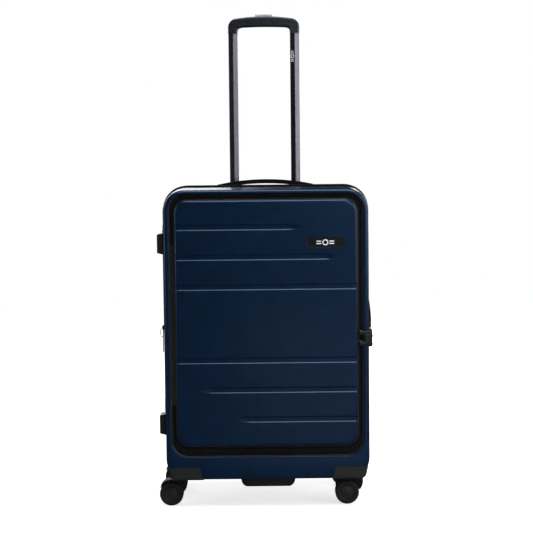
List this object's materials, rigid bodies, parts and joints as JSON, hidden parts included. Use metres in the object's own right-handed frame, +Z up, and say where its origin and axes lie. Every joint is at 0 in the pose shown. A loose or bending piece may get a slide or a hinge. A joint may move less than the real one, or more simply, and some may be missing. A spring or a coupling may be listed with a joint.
{
  "type": "hard shell spinner suitcase",
  "caption": "Hard shell upright suitcase with ridged front pocket lid, telescopic trolley handle and swivelling twin-wheel casters.",
  "frame": {"origin": "on the floor under the middle of the suitcase's bounding box", "axes": "+Z up, +Y towards the back (trolley side), +X towards the lock and side handle; the pocket lid faces -Y"},
  "size_m": [0.459, 0.275, 1.0475],
  "materials": {
    "shell": "moulded polycarbonate, fine grain",
    "lid": "moulded polycarbonate, satin",
    "zip_tape": "woven zip tape",
    "hinge_fabric": "coated woven fabric",
    "lining": "woven lining",
    "webbing": "ribbed webbing",
    "black_plastic": "textured mould finish",
    "handle_rubber": "soft touch",
    "grip_plastic": "satin",
    "button_plastic": "satin",
    "tube": "anodised",
    "steel": "brushed",
    "plate": "satin black",
    "zip_metal": "gloss black plating",
    "dial": "satin",
    "fork": "moulded",
    "wheel": "moulded tyre"
  },
  "bodies": {
    "rear_half": {"rear_shell": "shell", "rear_zip_tape": "zip_tape", "rear_lining": "lining", "packing_straps": "webbing", "corner_guards_rear": "black_plastic", "side_feet_rear": "black_plastic", "trolley_guide_tubes": "tube", "trolley_base": "black_plastic", "trolley_bezel": "black_plastic", "handle_mounts": "black_plastic", "housing_screws": "steel"},
    "trolley": {"trolley_tubes": "tube", "trolley_grip": "grip_plastic"},
    "release": {"release_button": "button_plastic", "release_rods": "steel"},
    "lock_pins": {"lock_pins": "steel"},
    "top_handle": {"top_handle": "handle_rubber"},
    "side_handle": {"side_handle": "handle_rubber"},
    "expansion_slider": {"expansion_zip_slider": "zip_metal"},
    "expansion_pull": {"expansion_zip_pull": "zip_metal"},
    "expansion_band": {"expansion_zip_tape": "zip_tape", "expansion_gusset": "hinge_fabric"},
    "hinge_tape": {"main_hinge_tape": "hinge_fabric"},
    "front_half": {"front_shell": "shell", "front_zip_tape": "zip_tape", "pocket_zip_tape": "zip_tape", "lid_hinge_tape": "hinge_fabric", "pocket_back_panel": "lining", "corner_guards_front": "black_plastic", "side_feet_front": "black_plastic", "bottom_grip": "black_plastic", "lock_housing": "black_plastic"},
    "lid": {"front_lid": "lid", "lid_zip_tape": "zip_tape", "name_plate": "plate", "lid_lining": "lining"},
    "dial_1": {"lock_dial_1": "dial"},
    "dial_2": {"lock_dial_2": "dial"},
    "dial_3": {"lock_dial_3": "dial"},
    "lock_release": {"lock_release": "dial"},
    "pocket_slider_upper": {"pocket_zip_slider_upper": "zip_metal"},
    "pocket_slider_lower": {"pocket_zip_slider_lower": "zip_metal"},
    "main_slider_upper": {"main_zip_slider_upper": "zip_metal"},
    "main_slider_lower": {"main_zip_slider_lower": "zip_metal"},
    "caster_front_left": {"caster_fork_front_left": "fork", "caster_axle_front_left": "steel"},
    "wheel_front_left_outer": {"wheel_front_left_outer": "wheel"},
    "wheel_front_left_inner": {"wheel_front_left_inner": "wheel"},
    "caster_front_right": {"caster_fork_front_right": "fork", "caster_axle_front_right": "steel"},
    "wheel_front_right_outer": {"wheel_front_right_outer": "wheel"},
    "wheel_front_right_inner": {"wheel_front_right_inner": "wheel"},
    "caster_rear_left": {"caster_fork_rear_left": "fork", "caster_axle_rear_left": "steel"},
    "wheel_rear_left_outer": {"wheel_rear_left_outer": "wheel"},
    "wheel_rear_left_inner": {"wheel_rear_left_inner": "wheel"},
    "caster_rear_right": {"caster_fork_rear_right": "fork", "caster_axle_rear_right": "steel"},
    "wheel_rear_right_outer": {"wheel_rear_right_outer": "wheel"},
    "wheel_rear_right_inner": {"wheel_rear_right_inner": "wheel"}
  },
  "joints": [
    {"name": "trolley_slide", "type": "slide", "parent": "rear_half", "child": "trolley", "axis": [0, 0, 1], "range_m": [-0.365, 0]},
    {"name": "button_press", "type": "slide", "parent": "trolley", "child": "release", "axis": [0, 0, -1], "range_m": [0, 0.004], "stiffness_N_per_m": 400},
    {"name": "pin_retract", "type": "slide", "parent": "trolley", "child": "lock_pins", "axis": [0, -1, 0], "range_m": [0, 0.0025]},
    {"name": "top_handle_lift", "type": "slide", "parent": "rear_half", "child": "top_handle", "axis": [0, 0, 1], "range_m": [0, 0.012], "stiffness_N_per_m": 250},
    {"name": "side_handle_lift", "type": "slide", "parent": "rear_half", "child": "side_handle", "axis": [1, 0, 0], "range_m": [0, 0.012], "stiffness_N_per_m": 250},
    {"name": "expansion_slider_travel", "type": "slide", "parent": "rear_half", "child": "expansion_slider", "axis": [0, 0, 1], "range_m": [-0.2, 0.2]},
    {"name": "expansion_pull_swing", "type": "hinge", "parent": "expansion_slider", "child": "expansion_pull", "pos_m": [-0.2252, 0.01615, 0.3685], "axis": [0, 1, 0], "range_deg": [0, 15]},
    {"name": "expansion", "type": "slide", "parent": "rear_half", "child": "expansion_band", "axis": [0, -1, 0], "range_m": [0, 0.028]},
    {"name": "main_hinge_rear", "type": "hinge", "parent": "expansion_band", "child": "hinge_tape", "pos_m": [-0.22055, 0.01, 0.37], "axis": [0, 0, -1], "range_deg": [0, 90]},
    {"name": "main_hinge_front", "type": "hinge", "parent": "hinge_tape", "child": "front_half", "pos_m": [-0.22055, -0.01, 0.37], "axis": [0, 0, -1], "range_deg": [0, 90]},
    {"name": "lid_hinge", "type": "hinge", "parent": "front_half", "child": "lid", "pos_m": [-0.197, -0.133, 0.39], "axis": [0, 0, -1], "range_deg": [0, 120]},
    {"name": "dial_1_turn", "type": "hinge", "parent": "front_half", "child": "dial_1", "pos_m": [0.2162, -0.122, 0.362], "axis": [0, 1, 0], "continuous": true},
    {"name": "dial_2_turn", "type": "hinge", "parent": "front_half", "child": "dial_2", "pos_m": [0.2162, -0.1155, 0.362], "axis": [0, 1, 0], "continuous": true},
    {"name": "dial_3_turn", "type": "hinge", "parent": "front_half", "child": "dial_3", "pos_m": [0.2162, -0.109, 0.362], "axis": [0, 1, 0], "continuous": true},
    {"name": "lock_release_slide", "type": "slide", "parent": "front_half", "child": "lock_release", "axis": [0, 1, 0], "range_m": [0, 0.004], "stiffness_N_per_m": 200},
    {"name": "pocket_slider_upper_travel", "type": "slide", "parent": "front_half", "child": "pocket_slider_upper", "axis": [0, 0, 1], "range_m": [0, 0.235]},
    {"name": "pocket_slider_lower_travel", "type": "slide", "parent": "front_half", "child": "pocket_slider_lower", "axis": [0, 0, 1], "range_m": [-0.16, 0]},
    {"name": "main_slider_upper_travel", "type": "slide", "parent": "front_half", "child": "main_slider_upper", "axis": [0, 0, 1], "range_m": [0, 0.24]},
    {"name": "main_slider_lower_travel", "type": "slide", "parent": "front_half", "child": "main_slider_lower", "axis": [0, 0, 1], "range_m": [-0.23, 0]},
    {"name": "caster_front_left_swivel", "type": "hinge", "parent": "front_half", "child": "caster_front_left", "pos_m": [-0.1855, -0.08, 0.057], "axis": [0, 0, 1], "continuous": true},
    {"name": "wheel_front_left_outer_spin", "type": "hinge", "parent": "caster_front_left", "child": "wheel_front_left_outer", "pos_m": [-0.2045, -0.08, 0.025], "axis": [0, 1, 0], "continuous": true},
    {"name": "wheel_front_left_inner_spin", "type": "hinge", "parent": "caster_front_left", "child": "wheel_front_left_inner", "pos_m": [-0.2045, -0.08, 0.025], "axis": [0, 1, 0], "continuous": true},
    {"name": "caster_front_right_swivel", "type": "hinge", "parent": "front_half", "child": "caster_front_right", "pos_m": [0.1855, -0.08, 0.057], "axis": [0, 0, 1], "continuous": true},
    {"name": "wheel_front_right_outer_spin", "type": "hinge", "parent": "caster_front_right", "child": "wheel_front_right_outer", "pos_m": [0.1665, -0.08, 0.025], "axis": [0, 1, 0], "continuous": true},
    {"name": "wheel_front_right_inner_spin", "type": "hinge", "parent": "caster_front_right", "child": "wheel_front_right_inner", "pos_m": [0.1665, -0.08, 0.025], "axis": [0, 1, 0], "continuous": true},
    {"name": "caster_rear_left_swivel", "type": "hinge", "parent": "rear_half", "child": "caster_rear_left", "pos_m": [-0.1855, 0.084, 0.057], "axis": [0, 0, 1], "continuous": true},
    {"name": "wheel_rear_left_outer_spin", "type": "hinge", "parent": "caster_rear_left", "child": "wheel_rear_left_outer", "pos_m": [-0.2045, 0.084, 0.025], "axis": [0, 1, 0], "continuous": true},
    {"name": "wheel_rear_left_inner_spin", "type": "hinge", "parent": "caster_rear_left", "child": "wheel_rear_left_inner", "pos_m": [-0.2045, 0.084, 0.025], "axis": [0, 1, 0], "continuous": true},
    {"name": "caster_rear_right_swivel", "type": "hinge", "parent": "rear_half", "child": "caster_rear_right", "pos_m": [0.1855, 0.084, 0.057], "axis": [0, 0, 1], "continuous": true},
    {"name": "wheel_rear_right_outer_spin", "type": "hinge", "parent": "caster_rear_right", "child": "wheel_rear_right_outer", "pos_m": [0.1665, 0.084, 0.025], "axis": [0, 1, 0], "continuous": true},
    {"name": "wheel_rear_right_inner_spin", "type": "hinge", "parent": "caster_rear_right", "child": "wheel_rear_right_inner", "pos_m": [0.1665, 0.084, 0.025], "axis": [0, 1, 0], "continuous": true}
  ],
  "couplings": [
    {"joint": "pin_retract", "follows": "button_press", "ratio": 0.625},
    {"joint": "main_hinge_front", "follows": "main_hinge_rear", "ratio": 1}
  ]
}
